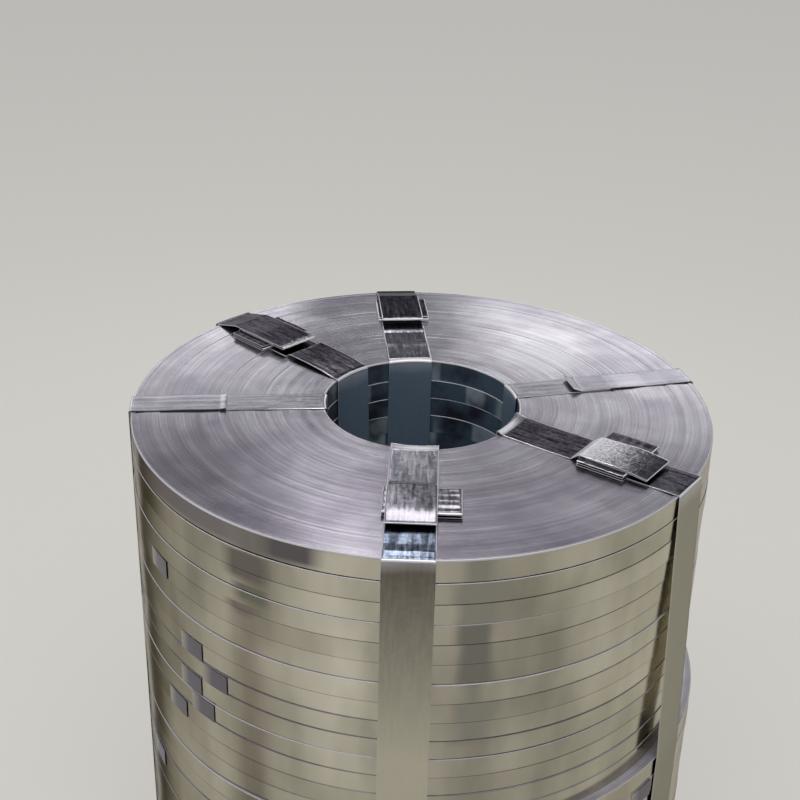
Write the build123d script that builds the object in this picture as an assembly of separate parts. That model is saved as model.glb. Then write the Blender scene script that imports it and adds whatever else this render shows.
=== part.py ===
from build123d import *
import math
import os

# A pack of narrow slit steel coils: flat rolls of strip that lie eye to the sky, one on
# another, held together by steel straps that run up through the bore and down the wall.
# Sizes are in millimetres. The origin is on the floor, on the axis of the bore.

# Strip and coils
strip_width = 32.0
top_strip_width = 35.0
strip_thickness = 0.8
bore_radius = 150.0
upper_coil_radius = 441.0
lower_coil_radius = 450.0
upper_coils = 14
coil_count = 27

# The narrower upper group stands a little to the left on the wider lower group
upper_place = (-4.7, 0.0)
lower_place = (4.8, 0.0)

# Straps: four wide ones with folded locks, and two narrower ones whose ends only lap
strap_width = 70.0
narrow_strap_width = 50.0
strap_thickness = 0.9
clearance = 0.3
bore_slack = 3.0
wall_slack = 1.0
hook_overlap = 15.0
hook_gap = 1.0
hook_bend = 2.5
flap_bend = 4.0
wall_bend = 150.0
least_lean = 5.0
lap_room = 2.0
lap_step = 6.0
lap_bend = 6.0
curl_length = 6.0
curl_height = 3.0

# Locking pieces, each a length of strip folded flat and caught between the strap ends
lock_height = 8.0
lock_thickness = 0.9
lock_width = 74.0
hook_room = 6.0

# Sideways shift of each coil of the upper group in its group, from the top down
upper_shifts = [
    (0.0, 0.0),
    (-0.1, -1.0),
    (0.7, -1.1),
    (-0.5, -1.5),
    (-0.6, -0.8),
    (-0.5, -0.2),
    (-0.3, -2.4),
    (-0.1, -1.8),
    (-0.2, -1.3),
    (-0.1, -0.3),
    (-1.5, -0.7),
    (-1.5, 0.2),
    (-0.6, -0.4),
    (0.3, -1.0),
]
# The lower group is shifted in turn by these
lower_shifts = [(0.0, 0.0), (0.6, -0.8), (-0.7, 0.3), (0.3, 0.9), (-0.4, -0.5)]

# Where the last turn of each coil ends on the wall, from the top down, as an azimuth
upper_tails = [
    -152.0,
    -161.0,
    -148.0,
    -156.0,
    -143.5,
    -139.0,
    -158.0,
    -132.8,
    -126.3,
    -133.5,
    -129.8,
    -138.5,
    -147.0,
    -154.0,
]
lower_tails = [-158.0, -38.0, -151.0, -136.0, -128.0, -144.0, -133.0, -155.0, -126.0, -139.0, -148.0, -131.0, -141.0]

# Turns that stand proud of or below the top end: radius of each step and level inside it
top_turn_steps = [
    (434.0, -0.7),
    (421.0, 0.0),
    (398.0, -0.9),
    (391.0, -0.3),
    (352.0, 0.0),
    (309.0, -0.8),
    (297.0, 0.0),
    (243.0, -0.5),
    (196.0, 0.0),
    (171.0, -0.6),
    (158.0, 0.0),
]
bottom_turn_steps = [(430.0, -0.6), (382.0, 0.0), (268.0, -0.7), (205.0, 0.0)]
ledge_turn_steps = [(443.0, -0.6), (439.0, 0.0)]

# Straps by name: azimuth and sideways offset. On a locked strap: place of the lock's middle
# outside the middle of the end face, length of flap past the lock, the side from which the
# upper end comes, and the lock's length and how far it is pushed to one side.
locked_straps = {
    "front": dict(
        azimuth=-90.4, offset=-7.0, lock_place=15.5, flap=10.0, over="bore", lock_length=108.0, lock_shift=13.0
    ),
    "right_front": dict(
        azimuth=-34.3, offset=19.0, lock_place=27.5, flap=24.0, over="bore", lock_length=110.0, lock_shift=8.5
    ),
    "back": dict(azimuth=96.5, offset=4.2, lock_place=49.5, flap=18.0, over="rim", lock_length=86.0, lock_shift=-3.0),
    "left_back": dict(
        azimuth=137.1, offset=10.7, lock_place=45.0, flap=20.0, over="rim", lock_length=100.0, lock_shift=1.5
    ),
}
# On a lapped strap the end from the rim lies over the end from the bore: place of each end
# outside the middle of the end face
lapped_straps = {
    "right_back": dict(azimuth=15.3, offset=9.0, upper_end=-55.5, lower_end=24.5),
    "left": dict(azimuth=186.0, offset=-6.0, upper_end=1.5, lower_end=69.5),
}

# Levels worked out from the sizes above
stack_height = top_strip_width + (coil_count - 1) * strip_width
stack_top = strap_thickness + stack_height
top_coil_base = stack_top - top_strip_width
ledge_height = top_coil_base - (upper_coils - 1) * strip_width
bend_radius = strap_thickness / 2 + clearance
face_middle = (bore_radius + upper_coil_radius) / 2


def spiral_face(start_radius, growth, start_angle):
    """Area inside one turn of strip, whose radius grows by one thickness round the turn."""
    quarter = growth / 4

    def on_turn(quarters):
        angle = math.radians(start_angle + 90 * quarters)
        radius = start_radius + quarter * quarters
        return (radius * math.cos(angle), radius * math.sin(angle))

    arcs = [
        ThreePointArc(on_turn(turn), on_turn(turn + 0.5), on_turn(turn + 1))
        for turn in range(4)
    ]
    step = Line(on_turn(4), on_turn(0))
    return make_face(Curve() + arcs + step)


def turn_relief(outer_radius, steps, face_height, outward):
    """Rings cut from an end of a coil where groups of turns lie lower than the rest."""
    cut = Part()
    level = 0.0
    radius = outer_radius + strip_width
    for next_radius, next_level in steps:
        if level < 0:
            ring = Cylinder(radius, -level) - Cylinder(next_radius, -level)
            middle = face_height + outward * level / 2
            cut += Pos(0, 0, middle) * ring
        radius = next_radius
        level = next_level
    return cut


def coil(number):
    """One slit coil: a ring of wound strip whose last turn ends in a step on the wall."""
    in_upper_group = number <= upper_coils
    if in_upper_group:
        outer_radius = upper_coil_radius
        group_place = upper_place
        tail_angle = upper_tails[(number - 1) % len(upper_tails)]
        shift = upper_shifts[(number - 1) % len(upper_shifts)]
    else:
        place = number - upper_coils - 1
        outer_radius = lower_coil_radius
        group_place = lower_place
        tail_angle = lower_tails[place % len(lower_tails)]
        shift = lower_shifts[place % len(lower_shifts)]
    width = top_strip_width if number == 1 else strip_width
    base = top_coil_base - (number - 1) * strip_width
    outline = spiral_face(outer_radius - strip_thickness, strip_thickness, tail_angle)
    eye = spiral_face(bore_radius, strip_thickness, -tail_angle)
    body = extrude(outline - eye, amount=width)
    body = Pos(0, 0, base) * body
    if number == 1:
        body -= turn_relief(outer_radius, top_turn_steps, stack_top, 1)
    if number == upper_coils + 1:
        body -= turn_relief(outer_radius, ledge_turn_steps, ledge_height, 1)
    if number == coil_count:
        body -= turn_relief(outer_radius, bottom_turn_steps, base, -1)
    return Pos(*group_place, 0) * Pos(*shift, 0) * body


def offset_corners(points, distance):
    """Corners of a path moved sideways to its left by a distance."""
    points = [Vector(*point) for point in points]
    directions = [(b - a).normalized() for a, b in zip(points, points[1:])]
    normals = [Vector(-d.Y, d.X) for d in directions]
    moved = [points[0] + normals[0] * distance]
    for point, before, after in zip(points[1:], normals, normals[1:]):
        moved.append(point + (before + after) * (distance / (1 + before.dot(after))))
    moved.append(points[-1] + normals[-1] * distance)
    return moved


def strip_section(points, radii, thickness):
    """Section of a bent strip: its middle line, with a radius at each corner, made thick."""
    path = [Vector(*point) for point in points]
    turns = []
    for before, corner, after in zip(path, path[1:], path[2:]):
        a = corner - before
        b = after - corner
        turns.append(math.copysign(1.0, a.X * b.Y - a.Y * b.X))
    half = thickness / 2
    left = offset_corners(points, half)
    right = offset_corners(points, -half)
    left_radii = [radius - half * turn for radius, turn in zip(radii, turns)]
    right_radii = [radius + half * turn for radius, turn in zip(radii, turns)]
    left_edge = FilletPolyline(*left, radius=left_radii)
    right_edge = FilletPolyline(*right, radius=right_radii)
    ends = [Line(left[0], right[0]), Line(left[-1], right[-1])]
    return make_face(Curve() + [left_edge, right_edge] + ends)


def lock_levels():
    """Middle heights of the strap layers where the two ends lock round the folded piece."""
    step = strap_thickness + clearance
    under = stack_top + strap_thickness / 2
    return_leaf = under + step + lock_height + clearance
    hook = return_leaf + step
    top = hook + step
    return under, return_leaf, hook, top


def lock_span(strap):
    """Radii at which the upper strap end meets the lock and folds back past it."""
    onward = 1.0 if strap["over"] == "bore" else -1.0
    middle = face_middle + strap["lock_place"]
    near = middle - onward * (lock_width / 2 + hook_room)
    far = middle + onward * (lock_width / 2 + hook_room + strap["flap"])
    return near, far, onward


def bore_run(strap, width):
    """Radius of a strap's run in the bore, clear of the bores of both groups."""
    angle = math.radians(strap["azimuth"])
    step = Vector(lower_place[0] - upper_place[0], lower_place[1] - upper_place[1])
    forward = step.X * math.cos(angle) + step.Y * math.sin(angle)
    sideways = step.Y * math.cos(angle) - step.X * math.sin(angle)
    free_radius = bore_radius - bore_slack
    upper_reach = width / 2 + abs(strap["offset"])
    lower_reach = width / 2 + abs(strap["offset"] - sideways)
    upper_line = math.sqrt(free_radius**2 - upper_reach**2)
    lower_line = forward + math.sqrt(free_radius**2 - lower_reach**2)
    return min(upper_line, lower_line) - strap_thickness / 2


def wall_runs(strap):
    """Radii of a strap's run at the lower group's wall and at the upper group's top rim."""
    angle = math.radians(strap["azimuth"])
    step = Vector(lower_place[0] - upper_place[0], lower_place[1] - upper_place[1])
    forward = step.X * math.cos(angle) + step.Y * math.sin(angle)
    stand_off = clearance + strap_thickness / 2
    shifts = [x * math.cos(angle) + y * math.sin(angle) for x, y in upper_shifts]
    at_lower_wall = forward + lower_coil_radius + wall_slack
    at_upper_wall = upper_coil_radius + max(shifts)
    at_wall = max(at_lower_wall, at_upper_wall)
    lean = at_wall - upper_coil_radius
    if lean < least_lean:
        return at_wall + stand_off, at_wall + stand_off
    upper_height = stack_top - ledge_height
    proud = 0.0
    for place, shift in enumerate(shifts[1:]):
        depth = top_strip_width + place * strip_width
        proud = max(proud, shift - lean * depth / upper_height)
    return at_wall + stand_off, upper_coil_radius + proud + stand_off


def around_pack(strap, width):
    """Corners and bend radii of a strap from the bore's rim down, under and up to the rim."""
    under = stack_top + strap_thickness / 2
    half = strap_thickness / 2
    in_bore = bore_run(strap, width)
    at_wall, at_top_rim = wall_runs(strap)
    around = [(in_bore, under), (in_bore, half), (at_wall, half)]
    around_radii = [bend_radius, bend_radius, bend_radius]
    if at_wall > at_top_rim:
        around.append((at_wall, ledge_height))
        around_radii.append(wall_bend)
    around.append((at_top_rim, under))
    around_radii.append(bend_radius)
    return around, around_radii


def locked_path(strap):
    """Middle line of a strap that is hooked round its lock, as radius and height."""
    under, return_leaf, hook, top = lock_levels()
    near, far, onward = lock_span(strap)
    over_end = [
        (near + onward * hook_overlap, return_leaf),
        (far, return_leaf),
        (far, top),
        (near, top),
    ]
    under_end = [
        (near + onward * hook_gap, under),
        (near + onward * hook_gap, hook),
        (far - onward * hook_overlap, hook),
    ]
    hook_radius = 0.49 * (top - return_leaf)
    over_radii = [hook_radius, hook_radius, flap_bend]
    under_radii = [hook_bend, hook_bend]
    around, around_radii = around_pack(strap, strap_width)
    if strap["over"] == "bore":
        return over_end + around + under_end, over_radii + around_radii + under_radii
    reversed_under = under_end[::-1]
    reversed_over = over_end[::-1]
    radii = under_radii[::-1] + around_radii + over_radii[::-1]
    return reversed_under + around + reversed_over, radii


def lapped_path(strap):
    """Middle line of a strap whose ends lap, the upper one curling up at its tip."""
    under = stack_top + strap_thickness / 2
    over = under + strap_thickness + clearance
    tip = face_middle + strap["upper_end"]
    lap = face_middle + strap["lower_end"]
    around, around_radii = around_pack(strap, narrow_strap_width)
    over_end = [
        (lap + lap_room + lap_step, under),
        (lap + lap_room, over),
        (tip, over),
        (tip - curl_length, over + curl_height),
    ]
    return [(lap, under)] + around + over_end, around_radii + [lap_bend, lap_bend, lap_bend]


def stand_in_place(section, width, strap, shift=0.0):
    """A section in a strap's plane, made as wide as given and turned to the strap's place."""
    solid = extrude(Plane.XZ * section, amount=width / 2, both=True)
    turned = Rot(0, 0, strap["azimuth"]) * Pos(0, strap["offset"] + shift, 0) * solid
    return Pos(*upper_place, 0) * turned


def strap_band(path, width, strap):
    """One strap: a strip round the wall, the foot, the bore and the top of the pack."""
    points, radii = path
    section = strip_section(points, radii, strap_thickness)
    return stand_in_place(section, width, strap)


def lock_piece(strap):
    """A length of strip folded in three, which keeps the hooked strap ends apart."""
    half = lock_thickness / 2
    low = stack_top + strap_thickness + clearance + half
    rise = (lock_height - lock_thickness) / 2
    near, _, onward = lock_span(strap)
    start = near + onward * hook_room
    end = start + onward * lock_width
    points = [
        (end, low),
        (start, low),
        (start, low + rise),
        (end, low + rise),
        (end, low + 2 * rise),
        (start, low + 2 * rise),
    ]
    radii = [0.49 * rise] * 4
    section = strip_section(points, radii, lock_thickness)
    return stand_in_place(section, strap["lock_length"], strap, strap["lock_shift"])


os.makedirs("parts", exist_ok=True)
for number in range(1, coil_count + 1):
    export_step(coil(number), f"parts/coil_{number:02d}.step")
for name, strap in locked_straps.items():
    band = strap_band(locked_path(strap), strap_width, strap)
    export_step(band, f"parts/strap_{name}.step")
    export_step(lock_piece(strap), f"parts/strap_lock_{name}.step")
for name, strap in lapped_straps.items():
    band = strap_band(lapped_path(strap), narrow_strap_width, strap)
    export_step(band, f"parts/strap_{name}.step")
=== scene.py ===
import math

import bpy
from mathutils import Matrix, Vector, noise


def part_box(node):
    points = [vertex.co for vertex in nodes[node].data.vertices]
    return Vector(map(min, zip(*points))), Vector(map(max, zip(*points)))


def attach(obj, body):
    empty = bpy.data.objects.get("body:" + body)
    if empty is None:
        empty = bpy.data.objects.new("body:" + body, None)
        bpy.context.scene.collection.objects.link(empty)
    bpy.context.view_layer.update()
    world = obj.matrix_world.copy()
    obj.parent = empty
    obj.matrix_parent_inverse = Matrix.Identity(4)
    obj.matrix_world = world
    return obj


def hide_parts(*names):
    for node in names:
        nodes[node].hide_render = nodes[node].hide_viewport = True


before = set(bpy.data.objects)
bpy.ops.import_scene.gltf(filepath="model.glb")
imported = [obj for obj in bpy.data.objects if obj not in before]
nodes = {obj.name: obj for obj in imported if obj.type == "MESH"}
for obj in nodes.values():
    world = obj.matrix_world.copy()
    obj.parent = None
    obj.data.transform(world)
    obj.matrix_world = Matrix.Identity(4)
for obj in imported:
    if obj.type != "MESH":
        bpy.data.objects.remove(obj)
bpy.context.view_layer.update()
body = "root"
mm = 0.001
print("frame loaded with", len(nodes), "nodes")

# Names of the coils, from the top of the stack down
coilNames = sorted(name for name in nodes if name.startswith("coil_"))
topName = coilNames[0]
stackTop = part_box(topName)[1].z


def plainSelection():
    # Leaves object mode with nothing selected
    if bpy.context.object and bpy.context.object.mode != "OBJECT":
        bpy.ops.object.mode_set(mode="OBJECT")
    bpy.ops.object.select_all(action="DESELECT")


def pick(piece):
    plainSelection()
    piece.select_set(True)
    bpy.context.view_layer.objects.active = piece


def selectVerts(piece, wanted):
    # Selects vertices in code while the piece is in edit mode, then goes back to edit mode
    bpy.ops.mesh.select_mode(type="VERT")
    bpy.ops.mesh.select_all(action="DESELECT")
    bpy.ops.object.mode_set(mode="OBJECT")
    for vertex in piece.data.vertices:
        vertex.select = wanted(vertex.co)
    bpy.ops.object.mode_set(mode="EDIT")


def applyAll(piece):
    pick(piece)
    for modifier in list(piece.modifiers):
        bpy.ops.object.modifier_apply(modifier=modifier.name)
    bpy.ops.object.transform_apply(location=True, rotation=True, scale=True)


def handOver(piece, node):
    # The finished piece stands for its CAD node and moves with the body
    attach(piece, body)
    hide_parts(node)


def clamp(value):
    return max(0.0, min(1.0, value))


# Materials


def colour(hexText, alpha=1.0):
    # sRGB hex to the linear values that the shader wants
    parts = [int(hexText[place : place + 2], 16) / 255 for place in (1, 3, 5)]
    linear = [part / 12.92 if part <= 0.04045 else ((part + 0.055) / 1.055) ** 2.4 for part in parts]
    return (*linear, alpha)


def newMaterial(name):
    material = bpy.data.materials.new(name)
    material.use_nodes = True
    shader = material.node_tree.nodes["Principled BSDF"]
    return material, shader


def feed(material, source, socket):
    # Links a socket to what feeds it, or gives it a value
    if isinstance(source, bpy.types.NodeSocket):
        material.node_tree.links.new(source, socket)
    else:
        socket.default_value = source


def setInputs(material, node, inputs):
    for name, source in inputs.items():
        feed(material, source, node.inputs[name])


def addNode(material, kind, links=None, **settings):
    # Adds one node, sets its properties, and links or sets its inputs
    node = material.node_tree.nodes.new(kind)
    for name, value in settings.items():
        setattr(node, name, value)
    setInputs(material, node, links or {})
    return node


def ramp(material, source, stops, interpolation="LINEAR"):
    node = addNode(material, "ShaderNodeValToRGB", {"Fac": source})
    node.color_ramp.interpolation = interpolation
    elements = node.color_ramp.elements
    while len(elements) < len(stops):
        elements.new(0.5)
    for element, (place, tone) in zip(elements, stops):
        element.position = place
        element.color = colour(tone)
    return node.outputs["Color"]


def numberRamp(material, source, low, high, fromLow=0.0, fromHigh=1.0):
    limits = {"From Min": fromLow, "From Max": fromHigh, "To Min": low, "To Max": high}
    return addNode(material, "ShaderNodeMapRange", {"Value": source, **limits}).outputs["Result"]


def softRamp(material, source, stops, low, high):
    # A soft colour ramp whose stops are given in the unit of what feeds it
    share = numberRamp(material, source, 0.0, 1.0, low, high)
    stops = [((place - low) / (high - low), tone) for place, tone in stops]
    return ramp(material, share, stops, "EASE")


def math2(material, operation, first, second=0.0):
    node = addNode(material, "ShaderNodeMath", {0: first, 1: second}, operation=operation)
    return node.outputs["Value"]


def product(material, first, *others):
    for other in others:
        first = math2(material, "MULTIPLY", first, other)
    return first


def restOf(material, share):
    # What a share leaves of the whole
    return math2(material, "SUBTRACT", 1.0, share)


def mixOf(material, factor, first, second, blend="MIX"):
    node = addNode(material, "ShaderNodeMix", {"Factor": factor}, data_type="RGBA", blend_type=blend)
    setInputs(material, node, {6: first, 7: second})
    return node.outputs[2]


def noiseOf(material, place, scale, detail, roughness=0.5):
    links = {"Vector": place, "Scale": scale, "Detail": detail, "Roughness": roughness}
    return addNode(material, "ShaderNodeTexNoise", links).outputs["Fac"]


def placeOf(material):
    # The place on the object, and its three coordinates apart
    place = addNode(material, "ShaderNodeTexCoord").outputs["Object"]
    apart = addNode(material, "ShaderNodeSeparateXYZ", {0: place}).outputs
    return place, apart["X"], apart["Y"], apart["Z"]


def vectorOf(material, x, y, z=0.0):
    return addNode(material, "ShaderNodeCombineXYZ", {"X": x, "Y": y, "Z": z}).outputs[0]


def lengthOf(material, vector):
    return addNode(material, "ShaderNodeVectorMath", {0: vector}, operation="LENGTH").outputs["Value"]


def stretch(material, place, scale):
    return addNode(material, "ShaderNodeMapping", {"Vector": place, "Scale": scale}).outputs[0]


def attributeOf(material, name):
    return addNode(material, "ShaderNodeAttribute", attribute_name=name).outputs["Fac"]


def addBump(material, shader, height, strength, depth):
    bump = addNode(material, "ShaderNodeBump", {"Height": height, "Strength": strength, "Distance": depth})
    feed(material, bump.outputs[0], shader.inputs["Normal"])


# Galvanised strip, wound and slit: the wall of a coil is the rolled face of its last turn,
# a semi-bright metal that blurs what it mirrors. Upright bands of painted reflection stand for
# the shed around it, and they and clouds where handling film has dried run on over the joints.
wallLook = {
    "base": "#d9d7cd",
    "dark": "#bbbab2",
    "light": "#f2efe8",
    "roughness": (0.12, 0.22),
    "cloudMm": 90.0,
    "cloudStretch": 0.35,
    "patchScale": 5.0,
    # how much of the tone comes from the clouds, the patches and the coil itself
    "cloudShare": 0.62,
    "patchShare": 0.22,
    "coilShare": 0.04,
    "coilHeight": 32.0 * mm,
    # the top coil is taller than the others by this, so layers are counted from here
    "layerStart": -3.0 * mm,
    # how far a band wavers, in degrees
    "waver": 8.0,
    "wobbleScale": 14.0,
    "wobbleStrength": 0.2,
    "wobbleMm": 2.0,
    # painted reflection: azimuth in degrees and tone of each upright band, from the back round the left to
    # the front
    "paintedReflectionBands": [
        (-180, "#9a968e"), (-172, "#95918a"), (-168, "#e8e4dc"), (-164, "#9d9992"), (-160, "#dad6cd"),
        (-155, "#928e86"), (-142, "#d0ccc2"), (-127, "#dedacf"), (-121, "#b3aca2"), (-114, "#dad6cb"),
        (-99, "#fffbf0"), (-86, "#dad6cb"), (-79, "#cfcbc0"), (-69, "#dcd8cc"), (-50, "#eeeadd"),
        (-30, "#fffbf0"), (-12, "#dedacf"), (8, "#bdb9ae"), (40, "#dad6cb"), (90, "#c4c0b5"),
        (140, "#dad6cb"), (180, "#9a968c"),
    ],
    # patches of painted reflection, where dark things of the shed are mirrored: azimuth, from and to in mm
    # below the layers' start, half width in degrees, tone
    "reflectionPatches": [
        (-138, -8, 34, 26, "#8a8586"), (-112, -8, 34, 7, "#6f6a6c"), (-121, 34, 84, 5, "#7d7870"),
        (-120, 84, 116, 4, "#808072"), (-122, 116, 142, 4, "#8b857b"), (-80, -8, 300, 4, "#a09d92"),
        (-80, 96, 200, 3, "#8a877d"), (-164, 226, 296, 5, "#57544f"),
    ],
    # a patch of painted reflection is full over this share of its half width, and fades in and out over
    # these heights
    "reflectionCore": 0.4,
    "reflectionFadeIn": 3,
    "reflectionFadeOut": 12,
}  # fmt: skip


def layerAt(material, height):
    # How far down a point lies, and the number of the coil that is there
    below = math2(material, "SUBTRACT", stackTop + wallLook["layerStart"], height)
    layer = math2(material, "FLOOR", math2(material, "DIVIDE", below, wallLook["coilHeight"]))
    return below, layer


def stripWallMaterial():
    material, shader = newMaterial("galvanisedStripWall")
    place, x, y, z = placeOf(material)
    # clouds are stretched upright, so that they run on over the joints as handling film does
    stretched = stretch(material, place, (1.0, 1.0, wallLook["cloudStretch"]))
    clouds = noiseOf(material, stretched, 1000.0 / wallLook["cloudMm"], 3.0)
    # each coil has its own slightly different tone
    below, layer = layerAt(material, z)
    ownTone = addNode(material, "ShaderNodeTexWhiteNoise", {"W": layer}, noise_dimensions="1D")
    shift = vectorOf(material, 0.0, 0.0, product(material, layer, 3.7))
    shifted = addNode(material, "ShaderNodeVectorMath", {0: place, 1: shift}, operation="ADD")
    patches = noiseOf(material, shifted.outputs["Vector"], wallLook["patchScale"], 2.0)
    coilPart = product(material, ownTone.outputs["Value"], wallLook["coilShare"])
    blotches = math2(material, "ADD", coilPart, product(material, patches, wallLook["patchShare"]))
    mixed = math2(material, "ADD", product(material, clouds, wallLook["cloudShare"]), blotches)
    stops = [(0.31, wallLook["dark"]), (0.44, wallLook["base"]), (0.57, wallLook["light"])]
    tone = ramp(material, mixed, stops)
    # painted reflection: upright bands by azimuth, wavering a little with the height
    waver = product(material, math2(material, "SUBTRACT", patches, 0.5), wallLook["waver"])
    azimuth = product(material, math2(material, "ARCTAN2", y, x), 180 / math.pi)
    paintedReflectionBands = softRamp(material, math2(material, "ADD", azimuth, waver), wallLook["paintedReflectionBands"], -180, 180)
    finished = mixOf(material, 1.0, tone, paintedReflectionBands, "MULTIPLY")
    for middle, low, high, spread, reflectionTone in wallLook["reflectionPatches"]:
        # each patch of painted reflection has soft sides, and ends that stop at a joint
        aside = math2(material, "ABSOLUTE", math2(material, "SUBTRACT", azimuth, middle))
        wavering = math2(material, "ADD", aside, waver)
        beside = numberRamp(material, wavering, 1.0, 0.0, spread * wallLook["reflectionCore"], spread)
        above = numberRamp(material, below, 0.0, 1.0, low * mm, (low + wallLook["reflectionFadeIn"]) * mm)
        under = numberRamp(material, below, 1.0, 0.0, (high - wallLook["reflectionFadeOut"]) * mm, high * mm)
        there = product(material, beside, above, under)
        finished = mixOf(material, there, finished, colour(reflectionTone))
    rough = numberRamp(material, clouds, *wallLook["roughness"], 0.3, 0.7)
    # the painted reflection bands tint the specular too, so that they stay dark at the limb, where bare
    # metal would mirror everything
    inputs = {"Base Color": finished, "Specular Tint": paintedReflectionBands, "Metallic": 1.0, "Roughness": rough}
    setInputs(material, shader, inputs)
    # rolled strip is never quite flat, so the mirrored light wobbles a little
    wobble = noiseOf(material, stretched, wallLook["wobbleScale"], 2.0)
    addBump(material, shader, wobble, wallLook["wobbleStrength"], wallLook["wobbleMm"] * mm)
    return material


# The ends of a coil are the slit edges of hundreds of turns: fine rings that catch the light
# one by one, so the light gathers in a fan across the face
endLook = {
    "low": "#a6a3aa",
    "base": "#b9b6bd",
    "high": "#cbc8ce",
    # the real turns are 0.8 mm apart and too fine to show, so they are drawn coarser
    "turnMm": 2.1,
    "groupMm": 12.0,
    "turnShare": 0.55,
    "groupShare": 0.45,
    "roughness": 0.26,
    "bumpMm": 0.3,
    "bumpStrength": 0.6,
    # painted shade darkens the side towards the front strap, and handling dulls the whole face in spots
    "dullTone": "#bdbabf",
    "handled": "#dad7dc",
    # soft pale smears where the film has been wiped
    "wiped": "#e6e2e8",
    "wipedMost": 0.3,
}


def turnRings(material, x, y, ringMm, drift, seed):
    # A noise that changes with the radius and only slowly round the axis
    flat = vectorOf(material, x, y)
    outward = product(material, lengthOf(material, flat), 1000.0 / ringMm)
    heading = addNode(material, "ShaderNodeVectorMath", {0: flat}, operation="NORMALIZE").outputs["Vector"]
    around = addNode(material, "ShaderNodeSeparateXYZ", {0: heading}).outputs
    aside = product(material, around["X"], drift)
    onward = math2(material, "ADD", product(material, around["Y"], drift), seed)
    return noiseOf(material, vectorOf(material, outward, aside, onward), 1.0, 1.0)


def stripEndMaterial():
    material, shader = newMaterial("slitStripEnd")
    place, x, y, z = placeOf(material)
    turns = turnRings(material, x, y, endLook["turnMm"], 1.2, 0.0)
    groups = turnRings(material, x, y, endLook["groupMm"], 0.8, 7.0)
    turnPart = product(material, turns, endLook["turnShare"])
    mixed = math2(material, "ADD", turnPart, product(material, groups, endLook["groupShare"]))
    tone = ramp(material, mixed, [(0.34, endLook["low"]), (0.5, endLook["base"]), (0.64, endLook["high"])])
    # painted shade: the top face grows darker towards the front
    backward = math2(material, "ADD", y, product(material, x, 0.3))
    frontShadeShare = numberRamp(material, backward, 0.0, 1.0, -0.35, 0.3)
    frontShaded = ramp(material, frontShadeShare, [(0.0, endLook["dullTone"]), (1.0, "#ffffff")])
    touches = noiseOf(material, place, 8.0, 5.0, 0.6)
    handled = ramp(material, touches, [(0.38, endLook["handled"]), (0.6, "#ffffff")])
    tone = mixOf(material, 1.0, tone, handled, "MULTIPLY")
    upper = numberRamp(material, z, 0.0, 1.0, stackTop - 0.2, stackTop - 0.05)
    smears = numberRamp(material, noiseOf(material, place, 11.0, 1.0), 0.0, endLook["wipedMost"], 0.6, 0.76)
    wiped = mixOf(material, smears, tone, colour(endLook["wiped"]))
    finished = mixOf(material, upper, wiped, frontShaded, "MULTIPLY")
    # the turns on the ledge lower down are dull and scatter the little light that reaches them
    metal = numberRamp(material, upper, 0.2, 1.0)
    inputs = {"Base Color": finished, "Metallic": metal, "Roughness": endLook["roughness"]}
    setInputs(material, shader, inputs)
    addBump(material, shader, mixed, endLook["bumpStrength"], endLook["bumpMm"] * mm)
    return material


# Inside the bore the first turns are dull and oily, and painted shade makes them near black, with
# a painted reflection of the sky that gives a blue or purple cast; paler patches break off at each joint
boreLook = {
    "deep": "#3a3a46",
    "blue": "#5d7080",
    "patch": "#b9c6cf",
    "patchScale": 11.0,
    "cloudScale": 16.0,
    "metallic": 0.45,
    "roughness": 0.28,
}


def stripBoreMaterial():
    material, shader = newMaterial("oilyStripBoreWithPaintedShade")
    place, x, y, z = placeOf(material)
    layer = layerAt(material, z)[1]
    flat = vectorOf(material, x, y, product(material, layer, 2.3))
    patches = noiseOf(material, flat, boreLook["patchScale"], 1.0)
    clouds = noiseOf(material, place, boreLook["cloudScale"], 3.0)
    # painted shade and painted reflection: near black clouded with sky blue
    tone = ramp(material, clouds, [(0.38, boreLook["deep"]), (0.58, boreLook["blue"])])
    sharp = numberRamp(material, patches, 0.0, 0.9, 0.55, 0.57)
    pale = product(material, sharp, numberRamp(material, clouds, 0.2, 1.0, 0.4, 0.58))
    finished = mixOf(material, pale, tone, colour(boreLook["patch"]))
    inputs = {"Metallic": boreLook["metallic"], "Roughness": boreLook["roughness"]}
    setInputs(material, shader, {"Base Color": finished, **inputs})
    return material


# The straps are cut from the same kind of strip, and lightly scuffed and dented all over. Painted
# reflection makes them dark on the top, where the shed's roof is mirrored, paler down the wall and deep blue
# in the bore
strapLook = {
    # painted reflection: tones of the runs on the top, down the wall and in the bore
    "top": "#514d54",
    "paleTop": "#c0bec6",
    # painted shade: the front strap's wall run is this dark under the rim
    "wallHigh": "#7e796f",
    "wallLow": "#d3ceba",
    # painted reflection: the blue of the front strap's rim run
    "paintedBlueReflection": "#8d99ab",
    "bore": "#7f92a4",
    # painted highlights at bends, cuts and glints, and painted shade on the cut sides of narrow straps
    "bend": "#f4f2f5",
    "edge": "#cfccd1",
    "shade": "#4d4952",
    "paintedGlint": "#e6e3e8",
    "edgeMm": 1.4,
    "streakMm": 5.0,
    "scuffMm": 7.0,
    "speckleMm": 4.0,
    "streakShare": 0.6,
    "scuffShare": 0.4,
    "roughness": (0.16, 0.26),
    "bumpMm": 0.5,
    "bumpStrength": 0.1,
    # radii in metres between which the bore run ends, and between which the painted blue reflection on the
    # front strap's rim run begins
    "boreFade": (0.16, 0.2),
    "paintedBlueFrom": (0.366, 0.372),
    # how much the painted highlights at bends, cuts and glints, and the oil in the bore, take from the
    # metal's shine
    "highlightDull": 0.7,
    "cutDull": 0.8,
    "boreDull": 0.55,
    # a dark film keeps the flat top from shining at a low angle
    "dullTone": "#b4b4b4",
}


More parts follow.
